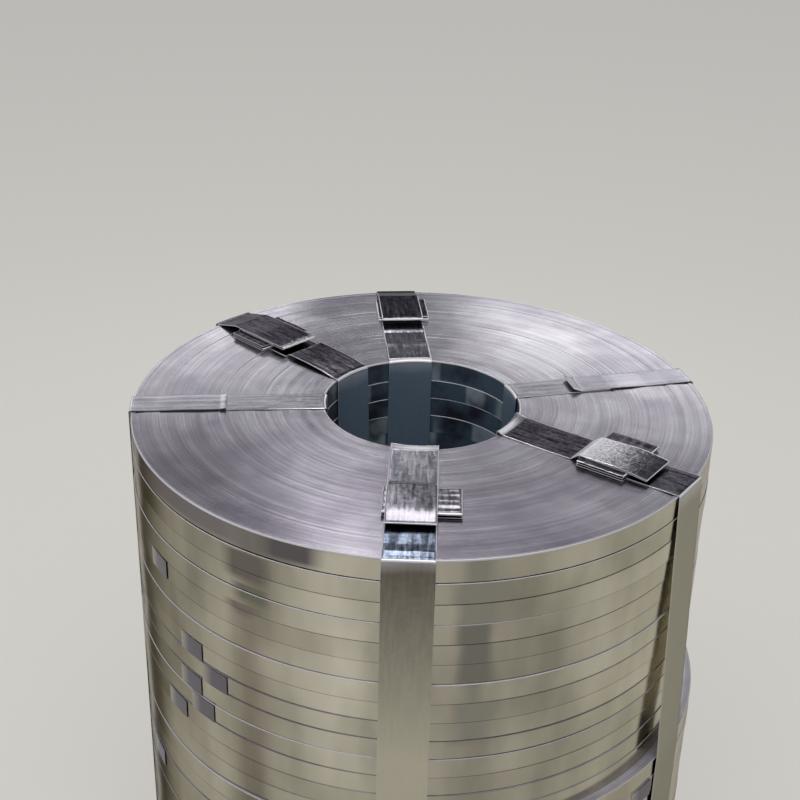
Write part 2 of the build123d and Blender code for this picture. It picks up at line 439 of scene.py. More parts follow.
def strapMaterial():
    material, shader = newMaterial("scuffedGalvanisedStrap")
    place, x, y, z = placeOf(material)
    radius = lengthOf(material, vectorOf(material, x, y))
    pale = attributeOf(material, "pale")
    paintedLight = attributeOf(material, "paintedLight")
    onTop = numberRamp(material, z, 0.0, 1.0, stackTop - 4 * mm, stackTop - 1 * mm)
    inBore = numberRamp(material, radius, 1.0, 0.0, *strapLook["boreFade"])
    # painted shade: the wall run of the front strap is dark under the rim and grows lighter towards the
    # floor
    deep = numberRamp(material, z, 1.0, 0.0, stackTop - 0.32, stackTop - 0.02)
    light = math2(material, "MAXIMUM", deep, restOf(material, paintedLight))
    onWall = mixOf(material, light, colour(strapLook["wallHigh"]), colour(strapLook["wallLow"]))
    upright = mixOf(material, inBore, onWall, colour(strapLook["bore"]))
    # painted reflection: a run on the top is dark or pale by its pale value
    lying = mixOf(material, pale, colour(strapLook["top"]), colour(strapLook["paleTop"]))
    # painted reflection: the rim run of the front strap turns blue
    blueReflectionShare = product(material, paintedLight, numberRamp(material, radius, 0.0, 0.9, *strapLook["paintedBlueFrom"]))
    lying = mixOf(material, blueReflectionShare, lying, colour(strapLook["paintedBlueReflection"]))
    base = mixOf(material, onTop, upright, lying)
    # the strap's own map holds the length along it and the place across it, in metres
    along = addNode(material, "ShaderNodeUVMap", uv_map="strapMap").outputs["UV"]
    fine = 1000.0 / strapLook["streakMm"]
    streaks = noiseOf(material, stretch(material, along, (fine * 0.1, fine, 1.0)), 1.0, 1.5)
    scuffs = noiseOf(material, place, 1000.0 / strapLook["scuffMm"], 4.0)
    streakPart = product(material, streaks, strapLook["streakShare"])
    marks = math2(material, "ADD", streakPart, product(material, scuffs, strapLook["scuffShare"]))
    wearAndGlint = ramp(material, marks, [(0.38, "#8c888d"), (0.5, "#cfccd0"), (0.6, "#ffffff")])
    # marks show on the dark top and hardly on the walls and on the pale straps
    clear = math2(material, "MAXIMUM", pale, numberRamp(material, light, 0.74, 0.95))
    showing = mixOf(material, onTop, clear, pale)
    plain = mixOf(material, restOf(material, showing), base, wearAndGlint, "MULTIPLY")
    # painted glint on a flap, which breaks up into speckles where it fades
    speckles = noiseOf(material, place, 1000.0 / strapLook["speckleMm"], 2.0)
    paintedGlint = math2(material, "SUBTRACT", attributeOf(material, "paintedGlint"), speckles)
    speckled = numberRamp(material, paintedGlint, 0.0, 0.85, -0.2, 0.4)
    plain = mixOf(material, speckled, plain, colour(strapLook["paintedGlint"]))
    # painted highlight: the bends are bright, where the normal is neither upright nor level
    normal = addNode(material, "ShaderNodeNewGeometry").outputs["Normal"]
    lean = addNode(material, "ShaderNodeSeparateXYZ", {0: normal}).outputs["Z"]
    tilt = math2(material, "ABSOLUTE", lean)
    leaving = numberRamp(material, tilt, 1.0, 0.0, 0.93, 0.985)
    bend = product(material, leaving, numberRamp(material, tilt, 0.0, 1.0, 0.05, 0.2))
    # a narrow pale strap gets no painted highlight at its cuts: painted shade on their upright sides shows
    # as a dark line
    narrow = numberRamp(material, pale, 0.0, 1.0, 0.7, 0.85)
    cut = strapLook["edgeMm"]
    beside = numberRamp(material, attributeOf(material, "side"), 1.0, 0.0, cut * 0.5, cut)
    bend = product(material, bend, restOf(material, product(material, narrow, beside)))
    bent = mixOf(material, bend, plain, colour(strapLook["bend"]))
    # painted highlight: the cut edges on the top are bright
    sheared = product(material, beside, onTop, restOf(material, narrow))
    bright = mixOf(material, sheared, bent, colour(strapLook["edge"]))
    shaded = product(material, numberRamp(material, tilt, 1.0, 0.0, 0.3, 0.7), narrow, onTop)
    finished = mixOf(material, shaded, bright, colour(strapLook["shade"]))
    # the painted highlights at bends, cuts and glints take from the metal's shine, and oil in the bore dulls
    # it
    highlightDulling = math2(material, "MAXIMUM", bend, product(material, sheared, strapLook["cutDull"]))
    highlightDulling = product(material, math2(material, "MAXIMUM", highlightDulling, speckled), strapLook["highlightDull"])
    inside = product(material, inBore, restOf(material, onTop), strapLook["boreDull"])
    metal = restOf(material, math2(material, "MAXIMUM", highlightDulling, inside))
    rough = numberRamp(material, marks, *strapLook["roughness"], 0.35, 0.65)
    inputs = {"Base Color": finished, "Metallic": metal, "Roughness": rough}
    setInputs(material, shader, {**inputs, "Specular Tint": colour(strapLook["dullTone"])})
    addBump(material, shader, marks, strapLook["bumpStrength"], strapLook["bumpMm"] * mm)
    return material


# Sheared edges of the straps and bright rims of the coils, where the cut has left the steel bare, with a
# painted highlight
edgeLook = {
    "tone": "#d3d0d4",
    # little metallic, so that the painted highlight stays bright under any light
    "metallic": 0.35,
    "roughness": 0.4,
}


def shearedEdgeMaterial():
    material, shader = newMaterial("shearedEdgePaintedHighlight")
    inputs = {"Metallic": edgeLook["metallic"], "Roughness": edgeLook["roughness"]}
    setInputs(material, shader, {"Base Color": colour(edgeLook["tone"]), **inputs})
    return material


# Loose ends of strip, which face the dark side of the shed: a painted reflection of it makes them slate grey
# with a purple cast
looseLook = {
    "held": "#b4b0a6",
    "free": "#78747c",
    # shares of the length between which the tone changes
    "fade": (0.02, 0.4),
    "roughness": 0.3,
}


def looseEndMaterial():
    material, shader = newMaterial("looseStripEnd")
    # painted reflection: the tone fades from the wall's at the held end to slate grey at the free end
    fading = numberRamp(material, attributeOf(material, "free"), 0.0, 1.0, *looseLook["fade"])
    tone = mixOf(material, fading, colour(looseLook["held"]), colour(looseLook["free"]))
    inputs = {"Base Color": tone, "Metallic": 1.0, "Roughness": looseLook["roughness"]}
    setInputs(material, shader, inputs)
    return material


edgeFinish = shearedEdgeMaterial()
looseFinish = looseEndMaterial()
wallFinish = stripWallMaterial()
endFinish = stripEndMaterial()
boreFinish = stripBoreMaterial()
strapFinish = strapMaterial()

# A coil's finishes, and the place of each in the list
coilFinishes = (wallFinish, endFinish, boreFinish, looseFinish, edgeFinish)
wallPlace, endPlace, borePlace, loosePlace, edgePlace = range(len(coilFinishes))
print("materials made")

# Coils

coilPiece = {
    "steps": 360,
    "edgeMm": 0.9,
    # the rounded rims of the top coil
    "rimMm": 2.1,
    "edgeSegments": 2,
    "boreRadiusMm": 150.0,
    "smoothDegrees": 12,
    # half the width of the slope between two levels of the top face
    "slopeMm": 0.1,
    # faces down to this depth belong to the top face
    "faceDepthMm": 2.0,
    # area in square metres from which a step in the top face takes the painted highlight
    "shiningStep": 2.4e-6,
    # upright part of the normal between which a face belongs to a rounded rim
    "rimLean": (0.25, 0.96),
    # coils whose slit edge takes the painted highlight at the rim, and at the eye
    "brightRims": (1, 2, 4, 7, 11, 15, 18, 23),
    "brightEyes": (1, 2, 3, 4, 6, 9),
    # where a joint stands open: coil, middle azimuth, half width in degrees, lift of the edge in mm
    "openJoints": [
        (1, -140, 45, 0.5), (3, -120, 35, 0.7), (4, -55, 60, 0.8), (6, -125, 30, 0.6), (7, -45, 40, 1.3),
        (8, -140, 50, 3.0), (9, -140, 55, 3.2), (9, -45, 50, 2.8), (10, -45, 50, 2.6), (11, -140, 50, 3.0),
        (11, -45, 40, 1.0), (12, -45, 50, 1.2), (14, -140, 40, 1.2), (16, -145, 40, 3.4), (16, -35, 40, 3.2),
        (19, -90, 70, 2.0), (22, -150, 60, 2.0), (24, -40, 60, 1.6),
    ],
    # below 1 the gap opens fast at its ends and stays even in its middle
    "gapShape": 0.7,
}  # fmt: skip

# Groups of turns on the top face that stand above or below the rest: radius and level in mm
topSteps = [
    (437.0, 0.2), (434.0, -0.4), (428.0, -0.2), (421.0, 0.0), (406.0, 0.2), (398.0, -0.35),
    (391.0, -0.1), (383.0, 0.0), (371.0, 0.15), (352.0, 0.0), (339.0, -0.2), (331.0, 0.0),
    (320.0, 0.2), (309.0, -0.4), (304.0, -0.2), (297.0, 0.0), (281.0, 0.15), (255.0, 0.0),
    (243.0, -0.25), (232.0, 0.0), (219.0, 0.15), (196.0, 0.0), (184.0, 0.15), (171.0, -0.3),
    (164.0, -0.1), (158.0, 0.0),
]  # fmt: skip

# Two points nearer than this, in metres, are one
samePlace = 0.00001


def radiusOf(point, centre):
    return math.hypot(point.x - centre.x, point.y - centre.y)


def edgeOf(number):
    return coilPiece["rimMm" if number == 1 else "edgeMm"]


def coilRing(number, name):
    low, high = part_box(name)
    centre = (low + high) / 2
    outer = (high.x - low.x) / 2
    inner = coilPiece["boreRadiusMm"] * mm
    bottom, top = low.z, high.z
    # the section of the ring, stood upright beside the axis
    plainSelection()
    bpy.ops.mesh.primitive_plane_add(
        size=1, location=(centre.x + (inner + outer) / 2, centre.y, centre.z), rotation=(math.pi / 2, 0, 0)
    )
    ring = bpy.context.object
    ring.name = name + "_wound"
    ring.scale = (outer - inner, top - bottom, 1)
    applyAll(ring)
    bpy.ops.object.mode_set(mode="EDIT")
    bpy.ops.mesh.select_all(action="SELECT")
    bpy.ops.mesh.bevel(offset=edgeOf(number) * mm, segments=coilPiece["edgeSegments"], affect="VERTICES")
    if name == topName:
        stepTopFace(ring, centre, top)
    bpy.ops.mesh.select_all(action="SELECT")
    bpy.ops.mesh.delete(type="ONLY_FACE")
    bpy.ops.mesh.select_all(action="SELECT")
    bpy.ops.mesh.spin(
        steps=coilPiece["steps"], angle=2 * math.pi, center=centre, axis=(0, 0, 1), use_auto_merge=True
    )
    bpy.ops.mesh.select_all(action="SELECT")
    bpy.ops.mesh.remove_doubles(threshold=samePlace)
    bpy.ops.mesh.normals_make_consistent(inside=False)
    bpy.ops.object.mode_set(mode="OBJECT")
    openJoints(ring, number, centre, outer, bottom)
    finishFaces(ring, number, centre, inner, outer, top)
    pick(ring)
    # only the round of the ring is smooth, so that walls stay straight between their bevels
    bpy.ops.object.shade_smooth_by_angle(angle=math.radians(coilPiece["smoothDegrees"]))
    return ring


def stepTopFace(ring, centre, top):
    # Cuts the top edge of the section and drops or lifts each run between two cuts
    def onTop(point):
        return abs(point.z - top) < samePlace

    selectVerts(ring, onTop)
    bpy.ops.mesh.select_mode(type="EDGE")
    bpy.ops.mesh.subdivide(number_cuts=2 * len(topSteps))
    bpy.ops.object.mode_set(mode="OBJECT")
    run = sorted(
        (vertex for vertex in ring.data.vertices if onTop(vertex.co)),
        key=lambda vertex: -radiusOf(vertex.co, centre),
    )[1:-1]
    slope = coilPiece["slopeMm"]
    level = 0.0
    for place, (radius, nextLevel) in enumerate(topSteps):
        cuts = ((run[2 * place], level, slope), (run[2 * place + 1], nextLevel, -slope))
        for vertex, height, side in cuts:
            vertex.co.x = centre.x + (radius + side) * mm
            vertex.co.z = top + height * mm
        level = nextLevel
    bpy.ops.object.mode_set(mode="EDIT")


def openJoints(ring, number, centre, outer, bottom):
    # Raises the lower corner at the wall, so that a dark gap opens over the coil below
    reach = 2 * coilPiece["edgeMm"] * mm
    corner = [
        vertex
        for vertex in ring.data.vertices
        if radiusOf(vertex.co, centre) > outer - reach and vertex.co.z < bottom + reach
    ]
    for coil, middle, spread, lift in coilPiece["openJoints"]:
        if coil != number:
            continue
        for vertex in corner:
            heading = math.degrees(math.atan2(vertex.co.y - centre.y, vertex.co.x - centre.x))
            away = abs((heading - middle + 180) % 360 - 180) / spread
            if away < 1:
                vertex.co.z += lift * mm * math.sin(math.pi / 2 * (1 - away)) ** coilPiece["gapShape"]


def finishFaces(ring, number, centre, inner, outer, top):
    # Gives each face its finish by where it lies and how it leans
    for finish in coilFinishes:
        ring.data.materials.append(finish)
    edge = edgeOf(number)
    middle = (inner + outer) / 2
    leastLean, mostLean = coilPiece["rimLean"]
    brightRim = number in coilPiece["brightRims"]
    brightEye = number in coilPiece["brightEyes"]
    for face in ring.data.polygons:
        radius = radiusOf(face.center, centre)
        height = face.center.z
        lean = abs(face.normal.z)
        inside = radius < middle
        onRim = leastLean < lean < mostLean and height > top - 2 * edge * mm
        fromWall = min(radius - inner, outer - radius)
        # painted highlight: larger steps of the top face, and the listed rims and eyes, take the bright edge
        # finish
        if number == 1 and height > top - coilPiece["faceDepthMm"] * mm and fromWall > 2 * edge * mm:
            shining = face.area > coilPiece["shiningStep"] and lean < 0.5
            face.material_index = edgePlace if shining else endPlace
        elif onRim and (brightEye if inside else brightRim):
            face.material_index = edgePlace
        elif lean > 0.5:
            face.material_index = endPlace
        else:
            face.material_index = borePlace if inside else wallPlace


# Loose ends of strip: the last of each turn springs straight and stands off the wall

looseEnd = {
    "lengthMm": 50.0,
    "thickMm": 0.8,
    "cuts": 7,
    # how much of the coil's round the sheet keeps, and how far its free corners curl in
    "hug": 0.7,
    "curlMm": 0.5,
    "shortMm": 0.8,
    # coil and the azimuth at which its strip ends
    "ends": [
        (5, -143.2), (8, -132.5), (9, -126.0), (10, -133.2), (11, -129.5), (12, -138.2), (16, -38.0),
        (17, -150.7),
    ],
}  # fmt: skip


def addLooseEnd(ring, name, azimuth):
    low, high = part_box(name)
    centre = (low + high) / 2
    outer = (high.x - low.x) / 2
    length = looseEnd["lengthMm"] * mm
    start = math.radians(azimuth) - math.atan(length / outer)
    across = Vector((math.cos(start), math.sin(start), 0))
    along = Vector((-math.sin(start), math.cos(start), 0))
    middle = centre + across * (outer + looseEnd["thickMm"] * mm / 2) + along * length / 2
    plainSelection()
    bpy.ops.mesh.primitive_plane_add(size=1, location=middle, rotation=(math.pi / 2, 0, start + math.pi / 2))
    sheet = bpy.context.object
    sheet.scale = (length, high.z - low.z - 2 * looseEnd["shortMm"] * mm, 1)
    bpy.ops.object.transform_apply(location=False, rotation=False, scale=True)
    bpy.ops.object.mode_set(mode="EDIT")
    bpy.ops.mesh.subdivide(number_cuts=looseEnd["cuts"])
    bpy.ops.object.mode_set(mode="OBJECT")
    way = sheet.data.attributes.new("free", "FLOAT", "POINT")
    for vertex in sheet.data.vertices:
        free = vertex.co.x / length + 0.5
        way.data[vertex.index].value = free
        vertex.co.z -= looseEnd["hug"] * (free * length) ** 2 / (2 * outer)
        vertex.co.z -= free**3 * looseEnd["curlMm"] * mm * abs(vertex.co.y) / (high.z - low.z)
    thick = sheet.modifiers.new("thick", "SOLIDIFY")
    thick.thickness = looseEnd["thickMm"] * mm
    thick.offset = 0.0
    applyAll(sheet)
    for finish in coilFinishes:
        sheet.data.materials.append(finish)
    for face in sheet.data.polygons:
        face.material_index = loosePlace
    pick(ring)
    sheet.select_set(True)
    bpy.ops.object.join()


for number, name in enumerate(coilNames, start=1):
    ring = coilRing(number, name)
    for coil, azimuth in looseEnd["ends"]:
        if coil == number:
            addLooseEnd(ring, name, azimuth)
    handOver(ring, name)
print("coils wound:", len(coilNames))

# Straps: each a band of strip, bent by hand over the rims and hooked into itself on the top

strapPiece = {
    "thickness": 0.9,
    "columns": 20,
    # longest runs that stay uncut, on the top, and down the bore and the wall
    "topStep": 7.0,
    "wallStep": 34.0,
    "upperX": -4.7,
    # rounding of the cut edges
    "edge": 0.22,
    "edgeDegrees": 50,
    "smoothDegrees": 40,
    # bend radii at the bore's edge, under the foot, at the ledge and at the rim
    "boreBend": 4.0,
    "tightBoreBend": 1.4,
    "footBend": 0.8,
    "ledgeBend": 150.0,
    "rimBend": 3.0,
    # a lip higher than this is bent tightly
    "tightLip": 2,
    # a strap narrower than this is held flat by its tension
    "narrow": 60,
    "narrowCalm": 0.35,
}

# A flap without a painted glint: strength, start radius and reach in metres
noPaintedGlint = (0.0, 0.3, 0.1)

# Corners of each strap's middle line in its own upright plane, in mm: radius from the axis,
# height above the top face and bend radius. "first" runs from one end to the bore, "last" from
# the rim to the other end. Between them lie the bore's edge, the foot, the wall and the rim.
# "tones" says how pale the painted reflection makes the bore run, the flap and the rim run.
straps = {
    "front": {
        "azimuth": -90.4, "offset": -7.0, "width": 70.0, "paintedLight": 1.0,
        "tones": (0.68, 0.4, 0.1), "paintedGlint": noPaintedGlint,
        "lip": 3.6, "boreTop": 140.4, "bore": 137.2, "wall": 451.7, "rim": 442.6,
        "first": [
            (280, 10.2, 0), (344, 9.9, 40), (367.5, 7.4, 1.0), (368, 9.2, 1.0), (338, 12.9, 160),
            (271, 12.9, 4), (252, 1.1, 4), (225, 0.5, 40), (153, 0.8, 3),
        ],
        "last": [
            (432, 0.6, 6), (424, 2.0, 6), (405, 0.5, 10), (274, 0.5, 2), (274, 11.2, 2), (338, 11.0, 0),
        ],
    },
    "right_front": {
        "azimuth": -34.3, "offset": 19.0, "width": 70.0, "paintedLight": 0.0,
        "tones": (0.12, 0.2, 0.2), "paintedGlint": (0.95, 0.285, 0.13),
        "lip": 4.4, "boreTop": 136.3, "bore": 136.3, "wall": 459.6, "rim": 442.4,
        "first": [
            (294, 10.0, 0), (358, 9.8, 40), (391.5, 6.2, 1.0), (392, 8.1, 1.0), (346, 13.3, 110),
            (283, 10.8, 4), (271, 0.8, 4), (230, 0.5, 40), (155, 0.8, 3),
        ],
        "last": [(425, 1.3, 12), (400, 0.5, 12), (284.5, 0.5, 1.5), (284.5, 11.3, 1.5), (372, 11.2, 0)],
    },
    "right_back": {
        "azimuth": 15.3, "offset": 9.0, "width": 50.0, "paintedLight": 0.0,
        "tones": (0.7, 0.85, 0.85), "paintedGlint": noPaintedGlint,
        "lip": 0.0, "boreTop": 142.6, "bore": 142.6, "wall": 460.9, "rim": 442.4,
        "first": [(320, 0.5, 0), (154, 0.6, 20)],
        "last": [
            (425, 1.0, 12), (400, 0.6, 12), (366, 0.55, 80), (318, 1.9, 60), (256, 1.9, 10), (241, 7.0, 0),
        ],
    },
    "back": {
        "azimuth": 96.5, "offset": 4.2, "width": 70.0, "paintedLight": 0.0,
        "tones": (0.5, 0.15, 0.15), "paintedGlint": (1.1, 0.29, 0.012),
        "lip": 0.0, "boreTop": 141.2, "bore": 137.6, "wall": 450.7, "rim": 442.4,
        "first": [
            (304, 11.2, 0), (386, 11.3, 1.5), (386, 0.5, 1.5), (275, 0.5, 4), (268, 2.2, 3), (258, 0.6, 5),
            (216, 0.6, 3), (208, 4.0, 3), (196, 3.0, 12), (165, 2.6, 20), (150, 3.0, 4),
        ],
        "last": [
            (433, 1.2, 8), (392, 12.3, 12), (340, 12.8, 40), (290, 12.6, 1.1), (289.5, 10.0, 1.1),
            (375, 10.0, 0),
        ],
    },
    "left_back": {
        "azimuth": 137.1, "offset": 9.5, "width": 70.0, "paintedLight": 0.0,
        "tones": (0.15, 0.04, 0.2), "paintedGlint": (0.85, 0.272, 0.03),
        "lip": 0.9, "boreTop": 139.3, "bore": 130.4, "wall": 444.8, "rim": 445.2,
        "first": [
            (296, 11.2, 0), (382, 11.3, 1.5), (382, 0.5, 1.5), (264, 0.6, 3), (256, 6.4, 3), (215, 6.4, 60),
            (180, 4.6, 60), (152, 1.6, 20),
        ],
        "last": [
            (436, 1.0, 8), (392, 12.3, 12), (340, 13.0, 40), (272, 12.6, 1.1), (271, 10.0, 1.1),
            (376, 10.0, 0),
        ],
    },
    "left": {
        "azimuth": 186.0, "offset": -6.0, "width": 50.0, "paintedLight": 0.0,
        "tones": (0.85, 0.9, 0.9), "paintedGlint": noPaintedGlint,
        "lip": 0.0, "boreTop": 143.2, "bore": 133.6, "wall": 443.3, "rim": 443.7,
        "first": [(365, 0.5, 0), (154, 0.6, 20)],
        "last": [(428, 0.8, 12), (408, 0.55, 60), (362, 1.9, 60), (308, 1.9, 10), (298, 3.6, 0)],
    },
}  # fmt: skip

stackMm = stackTop / mm
ledgeMm = -451.0


def strapCorners(strap):
    thickness = strapPiece["thickness"]
    bottom = thickness / 2 - stackMm
    bore = strap["bore"]
    wall = strap["wall"]
    edgeBend = strapPiece["tightBoreBend" if strap["lip"] > strapPiece["tightLip"] else "boreBend"]
    around = [(strap["boreTop"], thickness + strap["lip"], edgeBend)]
    if strap["boreTop"] - bore > 1:
        around.append((bore, ledgeMm, strapPiece["ledgeBend"]))
    around += [(bore, bottom, strapPiece["footBend"]), (wall, bottom, strapPiece["footBend"])]
    if wall - strap["rim"] > 1:
        around.append((wall, ledgeMm, strapPiece["ledgeBend"]))
    around.append((strap["rim"], 1.1, strapPiece["rimBend"]))
    return strap["first"] + around + strap["last"]


def bentStrip(name, corners, low, high, columns, topStep, wallStep):
    # Draws the bent middle line corner by corner and pulls it out across the strip's width
    plainSelection()
    bpy.ops.mesh.primitive_plane_add(size=2)
    strip = bpy.context.object
    strip.name = name
    points = [Vector((radius * mm, low * mm, height * mm)) for radius, height, bend in corners]
    bpy.ops.object.mode_set(mode="EDIT")
    # one corner of the plane is kept and moved to the start
    selectVerts(strip, lambda point: point.x > 0 or point.y > 0)
    bpy.ops.mesh.delete(type="VERT")
    bpy.ops.mesh.select_all(action="SELECT")
    bpy.ops.transform.translate(value=points[0] - Vector((-1, -1, 0)))
    for before, after in zip(points, points[1:]):
        bpy.ops.mesh.extrude_region_move(TRANSFORM_OT_translate={"value": after - before})
    for place in range(1, len(points) - 1):
        roundCorner(strip, points[place - 1], points[place], points[place + 1], corners[place][2] * mm)
    while halveLongRuns(strip, topStep * mm, wallStep * mm):
        continue
    bpy.ops.object.mode_set(mode="OBJECT")
    measureAlong(strip, points[0])
    bpy.ops.object.mode_set(mode="EDIT")
    bpy.ops.mesh.select_all(action="SELECT")
    step = Vector((0, (high - low) * mm / columns, 0))
    for column in range(columns):
        bpy.ops.mesh.extrude_region_move(TRANSFORM_OT_translate={"value": step})
    bpy.ops.mesh.select_all(action="SELECT")
    bpy.ops.mesh.normals_make_consistent(inside=False)
    bpy.ops.object.mode_set(mode="OBJECT")
    return strip


def roundCorner(strip, before, corner, after, bend):
    way = (corner - before).normalized()
    onward = (after - corner).normalized()
    turn = math.acos(max(-1.0, min(1.0, way.dot(onward))))
    if bend <= 0 or turn < 0.01:
        return
    shortest = min((corner - before).length, (after - corner).length)
    # two bends on one run leave a little of it straight
    offset = min(bend * math.tan(turn / 2), shortest * 0.46)
    selectVerts(strip, lambda point: (point - corner).length < samePlace)
    bpy.ops.mesh.bevel(offset=offset, segments=max(2, round(math.degrees(turn) / 18)), affect="VERTICES")


def halveLongRuns(strip, topStep, wallStep):
    # Cuts every edge that is too long for its place once in the middle
    bpy.ops.mesh.select_mode(type="EDGE")
    bpy.ops.mesh.select_all(action="DESELECT")
    bpy.ops.object.mode_set(mode="OBJECT")
    verts = strip.data.vertices
    found = False
    for edge in strip.data.edges:
        first, second = (verts[index].co for index in edge.vertices)
        onTop = min(first.z, second.z) > -3 * mm
        edge.select = (first - second).length > (topStep if onTop else wallStep)
        found = found or edge.select
    bpy.ops.object.mode_set(mode="EDIT")
    if found:
        bpy.ops.mesh.subdivide(number_cuts=1)
    return found


def measureAlong(strip, start):
    # Keeps each vertex's distance along the strip, counted from its first end
    data = strip.data
    beside = {vertex.index: [] for vertex in data.vertices}
    for edge in data.edges:
        first, second = edge.vertices
        beside[first].append(second)
        beside[second].append(first)
    along = data.attributes.new("along", "FLOAT", "POINT")
    here = min(data.vertices, key=lambda vertex: (vertex.co - start).length).index
    before = None
    distance = 0.0
    while here is not None:
        along.data[here].value = distance
        following = [other for other in beside[here] if other != before]
        if not following:
            break
        distance += (data.vertices[following[0]].co - data.vertices[here].co).length
        before, here = here, following[0]


# How a strap takes the round of the bore's edge, in metres
boreHug = {
    "reach": 40 * mm,
    "depth": 0.2,
    "radius": 147.2 * mm,
    "widest": 0.07,
    "flattened": 0.75,
}


def hugBore(strip, strap):
    # Under tension the strip takes the round of the bore's edge and flattens again below it
    edge = strap["boreTop"] * mm
    for vertex in strip.data.vertices:
        point = vertex.co
        if point.x > edge + boreHug["reach"] or point.z < -boreHug["depth"]:
            continue
        room = math.sqrt(boreHug["radius"] ** 2 - min(abs(point.y), boreHug["widest"]) ** 2) - edge
        outward = clamp((point.x - edge) / boreHug["reach"])
        depth = clamp(-point.z / boreHug["depth"])
        point.x += room * (1 - outward) ** 2 * (1 - boreHug["flattened"] * depth)


def finishStrip(strip, thickness, low, high, wave, seed, azimuth, calm=1.0):
    # Waves the sheet, maps it, gives it its thickness and stands it in place
    data = strip.data
    along = [item.value for item in data.attributes["along"].data]
    across = [vertex.co.y for vertex in data.vertices]
    side = data.attributes.new("side", "FLOAT", "POINT")
    for vertex, value in zip(data.vertices, across):
        side.data[vertex.index].value = min(value / mm - low, high - value / mm)
    pushes = []
    for vertex in data.vertices:
        push = wave(along[vertex.index] / mm, across[vertex.index] / mm, vertex.co / mm, seed)
        pushes.append((vertex.normal.copy(), push))
    for vertex, (normal, push) in zip(data.vertices, pushes):
        vertex.co += normal * push * mm * calm
    layer = data.uv_layers.new(name="strapMap")
    for loop in data.loops:
        layer.data[loop.index].uv = (along[loop.vertex_index], across[loop.vertex_index])
    thick = strip.modifiers.new("thick", "SOLIDIFY")
    thick.thickness = thickness * mm
    thick.offset = 0.0
    # the cuts of a narrow strap keep the finish of its faces
    thick.material_offset_rim = 1 if calm == 1.0 else 0
    rounded = strip.modifiers.new("rounded", "BEVEL")
    rounded.width = strapPiece["edge"] * mm
    rounded.segments = 2
    rounded.limit_method = "ANGLE"
    rounded.angle_limit = math.radians(strapPiece["edgeDegrees"])
    strip.data.materials.append(strapFinish)
    strip.data.materials.append(edgeFinish)
    strip.location = (strapPiece["upperX"] * mm, 0, stackTop)
    strip.rotation_euler = (0, 0, math.radians(azimuth))
    applyAll(strip)
    pick(strip)
    bpy.ops.object.shade_smooth_by_angle(angle=math.radians(strapPiece["smoothDegrees"]))


# What lies above this height is a flap, and what lies inside this radius the bore run, in metres
runLimits = {
    "flapHeight": 7 * mm,
    "boreRun": 0.3,
}


def paint(strip, tones, paintedLight, paintedGlint):
    # What the material reads: how pale each run's painted reflection is, where the front strap takes its
    # painted light, and the painted glint on a flap, which fades outwards from its fold
    boreRun, flap, rimRun = tones
    strength, start, reach = paintedGlint
    pale = []
    wearAndGlint = []
    for vertex in strip.data.vertices:
        outward = math.hypot(vertex.co.x, vertex.co.y)
        raised = vertex.co.z - stackTop > runLimits["flapHeight"]
        pale.append(flap if raised else boreRun if outward < runLimits["boreRun"] else rimRun)
        wearAndGlint.append(max(0.0, strength - max(0.0, outward - start) / reach) if raised else 0.0)
    for name, amounts in (("pale", pale), ("paintedGlint", wearAndGlint), ("paintedLight", [paintedLight] * len(pale))):
        strip.data.attributes.new(name, "FLOAT", "POINT").data.foreach_set("value", amounts)


strapDents = {
    # noise per mm along and across the strip
    "dentScale": (0.022, 0.02),
    "creaseScale": (0.008, 0.17),
    # height of the dents and of the creases in mm, by run
    "top": (0.55, 0.2),
    "bore": (0.15, 0.06),
    "wall": (0.5, 0.06),
    # where the top ends below the face, and the bore run outwards, in mm
    "topEnd": -4,
    "boreEnd": 160,
    # each strap draws its noise this far from the one before
    "seedStep": 7.3,
}


def strapWave(along, across, place, seed):
    # Long dents on the flat runs and finer creases that run with the strip
    dentAlong, dentAcross = strapDents["dentScale"]
    creaseAlong, creaseAcross = strapDents["creaseScale"]
    dent = noise.noise(Vector((along * dentAlong, across * dentAcross, seed)))
    crease = noise.noise(Vector((along * creaseAlong, across * creaseAcross, seed + 20)))
    beside = "bore" if place.x < strapDents["boreEnd"] else "wall"
    dentMm, creaseMm = strapDents["top" if place.z > strapDents["topEnd"] else beside]
    return dent * dentMm + crease * creaseMm


for order, (name, strap) in enumerate(straps.items()):
    low = strap["offset"] - strap["width"] / 2
    high = strap["offset"] + strap["width"] / 2
    corners = strapCorners(strap)
    steps = (strapPiece["columns"], strapPiece["topStep"], strapPiece["wallStep"])
    band = bentStrip("strap_" + name + "_band", corners, low, high, *steps)
    hugBore(band, strap)
    calm = strapPiece["narrowCalm"] if strap["width"] < strapPiece["narrow"] else 1.0
    seed = order * strapDents["seedStep"]
    finishStrip(band, strapPiece["thickness"], low, high, strapWave, seed, strap["azimuth"], calm)
    paint(band, strap["tones"], strap["paintedLight"], strap["paintedGlint"])
    handOver(band, "strap_" + name)
print("straps bent:", len(straps))

# Locks: a short length of strip folded in three and pinched into ridges, lying crosswise
# between the hooked ends of its strap

lockPiece = {
    "thickness": 0.9,
    "columns": 24,
    "step": 4.0,
    "bend": 1.6,
    # heights of the three leaves above the top face
    "levels": (1.6, 5.2, 8.8),
    "ridgeMm": 15.0,
    "ridgeShare": 0.6,
    "dentScale": 0.04,
    "dentMm": 0.8,
    # the ridges and dents grow from this height on, over this much
    "risesFrom": 7.0,
    "risesOver": 1.5,
    "seedStep": 2.1,
}

# Where each lock lies, in mm: inner and outer radius, its two ends across the strap, and the
# height of its ridges
locks = {
    "front": (276, 339, -47, 61, 0.7),
    "right_front": (287, 361, -28, 83, 0.3),
    "back": (306, 383, -42, 44, 0.35),
    "left_back": (304, 379, -38, 60, 0.35),
}


